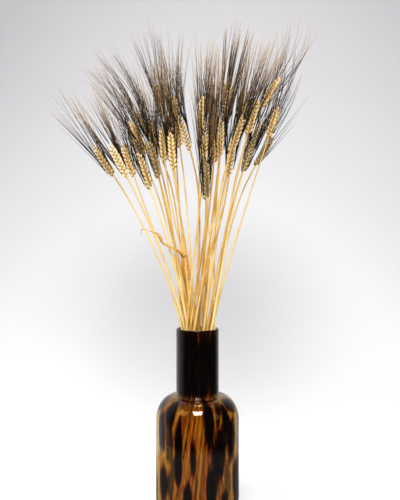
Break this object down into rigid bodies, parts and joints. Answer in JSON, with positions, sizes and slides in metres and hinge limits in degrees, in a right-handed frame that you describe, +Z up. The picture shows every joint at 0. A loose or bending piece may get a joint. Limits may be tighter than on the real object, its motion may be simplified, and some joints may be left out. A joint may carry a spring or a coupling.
{
  "type": "bunch of bearded wheat ears in a bottle vase",
  "caption": "Dried bearded wheat ears with long dark awns on golden straws, fanned out of a tall round-shouldered bottle vase of tortoiseshell glass, with a flat base to stand on.",
  "frame": {"origin": "centre of the vase's flat base", "axes": "+Z up along the vase's axis, -Y to the front, which is the side that the picture shows, +X to its right"},
  "size_m": [0.4312, 0.2245, 0.8167],
  "materials": {
    "tortoiseshell_glass": "glossy, amber brown with dark spots",
    "dry_wheat": "matt, dry straw and grain"
  },
  "bodies": {
    "root": {"vase": "tortoiseshell_glass", "wheat_01": "dry_wheat", "wheat_02": "dry_wheat", "wheat_03": "dry_wheat", "wheat_04": "dry_wheat", "wheat_05": "dry_wheat", "wheat_06": "dry_wheat", "wheat_07": "dry_wheat", "wheat_08": "dry_wheat", "wheat_09": "dry_wheat", "wheat_10": "dry_wheat", "wheat_11": "dry_wheat", "wheat_12": "dry_wheat", "wheat_13": "dry_wheat", "wheat_14": "dry_wheat", "wheat_15": "dry_wheat", "wheat_16": "dry_wheat", "wheat_17": "dry_wheat", "wheat_18": "dry_wheat", "wheat_19": "dry_wheat", "wheat_20": "dry_wheat", "wheat_21": "dry_wheat", "wheat_22": "dry_wheat", "wheat_23": "dry_wheat", "wheat_24": "dry_wheat", "wheat_25": "dry_wheat", "wheat_26": "dry_wheat", "wheat_27": "dry_wheat", "wheat_28": "dry_wheat", "wheat_29": "dry_wheat", "wheat_30": "dry_wheat", "wheat_31": "dry_wheat", "wheat_32": "dry_wheat", "wheat_33": "dry_wheat", "wheat_34": "dry_wheat", "wheat_35": "dry_wheat", "wheat_36": "dry_wheat"}
  },
  "joints": []
}
